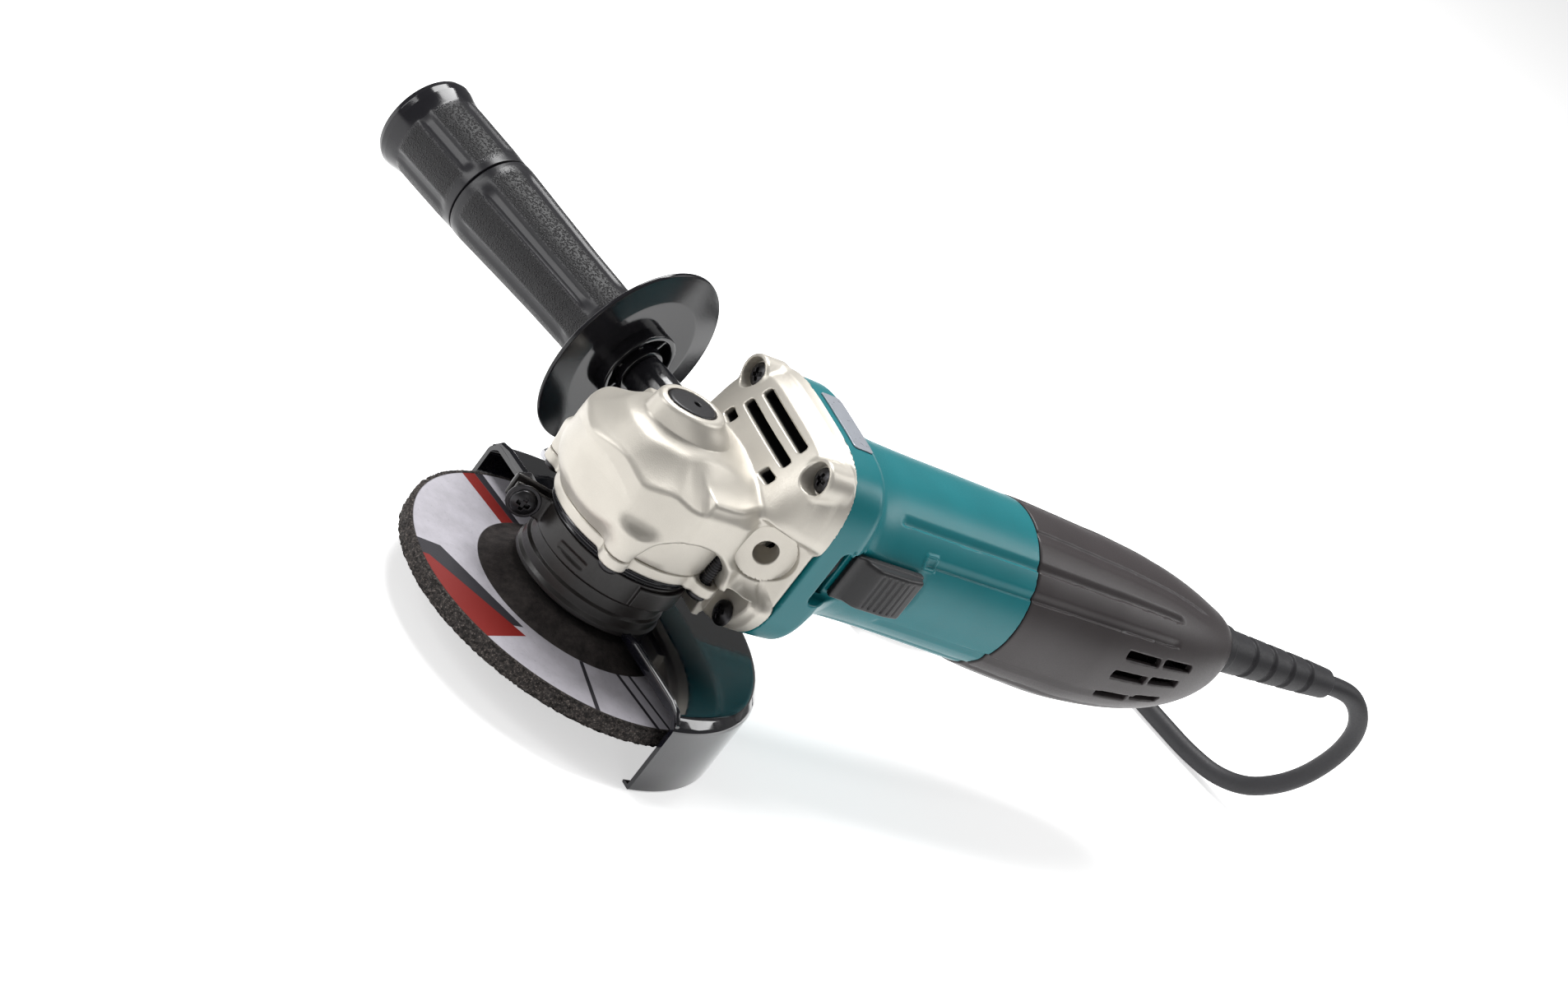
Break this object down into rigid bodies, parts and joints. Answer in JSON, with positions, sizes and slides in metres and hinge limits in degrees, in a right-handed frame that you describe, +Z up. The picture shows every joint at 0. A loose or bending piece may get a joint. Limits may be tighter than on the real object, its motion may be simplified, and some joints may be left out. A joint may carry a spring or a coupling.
{
  "type": "angle grinder",
  "caption": "Slim corded angle grinder with side grip, adjustable guard, depressed-centre grinding wheel, slide switch, shaft lock and coiled cord with plug.",
  "frame": {"origin": "on the spindle axis, in the plane of the guard skirt's lower edge, which is the surface the tool stands on", "axes": "+X along the motor axis from the spindle towards the cord, +Y towards the side grip (the user's right), +Z up along the spindle, away from the wheel"},
  "size_m": [0.3968, 0.2413, 0.1069],
  "materials": {
    "aluminium": "satin die-cast, light warm silver",
    "teal_plastic": "satin glass-filled nylon, teal",
    "grey_plastic": "satin, dark warm grey",
    "black_plastic": "fine-grained, black",
    "rubber": "matt, black-grey",
    "black_enamel": "gloss black enamel on pressed steel",
    "steel": "machined steel",
    "dark_steel": "black oxide steel",
    "copper": "enamelled copper",
    "lamination": "stacked electrical steel sheet",
    "abrasive": "bonded grit with a printed paper ring",
    "carbon": "matt carbon",
    "nylon": "black glass-filled nylon",
    "plate": "blank silver-grey label plate"
  },
  "bodies": {
    "tool_body": {"lower_bearing": "steel", "upper_bearing": "steel", "front_motor_bearing": "steel", "rear_motor_bearing": "steel", "bearing_sleeve": "rubber", "bearing_box": "aluminium", "box_screw_1": "dark_steel", "box_screw_2": "dark_steel", "box_screw_3": "dark_steel", "box_screw_4": "dark_steel", "gear_housing": "aluminium", "housing_screw_1": "dark_steel", "housing_screw_2": "dark_steel", "housing_screw_3": "dark_steel", "housing_screw_4": "dark_steel", "lock_spring": "steel", "stator_core": "lamination", "field_coil_1": "copper", "field_coil_2": "copper", "brush_holder_1": "nylon", "carbon_brush_1": "carbon", "brush_holder_2": "nylon", "carbon_brush_2": "carbon", "fan_baffle": "nylon", "motor_housing": "teal_plastic", "name_plate": "plate", "switch_unit": "black_plastic", "rear_cover": "grey_plastic", "rear_cover_screw": "dark_steel", "cord_guard": "rubber", "cord_clamp": "nylon", "side_grip": "black_plastic", "grip_stem": "black_enamel", "grip_stud": "steel", "power_cord": "rubber", "cord_coil": "rubber", "coil_tie": "nylon", "cord_tail": "rubber", "plug_body": "black_plastic", "plug_pin_1": "steel", "plug_pin_2": "steel"},
    "spindle_unit": {"spindle": "steel", "bevel_gear": "dark_steel", "inner_flange": "steel", "grinding_wheel": "abrasive", "lock_nut": "dark_steel"},
    "armature": {"armature_shaft": "steel", "bevel_pinion": "dark_steel", "armature_core": "lamination", "armature_windings": "copper", "commutator": "copper", "cooling_fan": "nylon"},
    "guard_unit": {"guard": "black_enamel", "guard_band": "black_enamel", "clamp_screw": "dark_steel", "clamp_nut": "dark_steel"},
    "shaft_lock": {"lock_button": "black_plastic", "lock_pin": "steel"},
    "switch": {"switch_knob": "black_plastic", "switch_rod": "nylon"}
  },
  "joints": [
    {"name": "spindle_spin", "type": "hinge", "parent": "tool_body", "child": "spindle_unit", "pos_m": [0, 0, 0.0714], "axis": [0, 0, 1], "continuous": true},
    {"name": "armature_spin", "type": "hinge", "parent": "tool_body", "child": "armature", "pos_m": [0.05, 0, 0.0714], "axis": [1, 0, 0], "continuous": true},
    {"name": "guard_turn", "type": "hinge", "parent": "tool_body", "child": "guard_unit", "pos_m": [0, 0, 0.0406], "axis": [0, 0, 1], "range_deg": [-95, 120]},
    {"name": "lock_press", "type": "slide", "parent": "tool_body", "child": "shaft_lock", "axis": [0, 0, -1], "range_m": [0, 0.003], "stiffness_N_per_m": 600, "springref_m": -0.004, "deforming": ["lock_spring"]},
    {"name": "switch_slide", "type": "slide", "parent": "tool_body", "child": "switch", "axis": [-1, 0, 0], "range_m": [0, 0.007]}
  ],
  "couplings": [
    {"joint": "armature_spin", "follows": "spindle_spin", "ratio": 3.4}
  ]
}
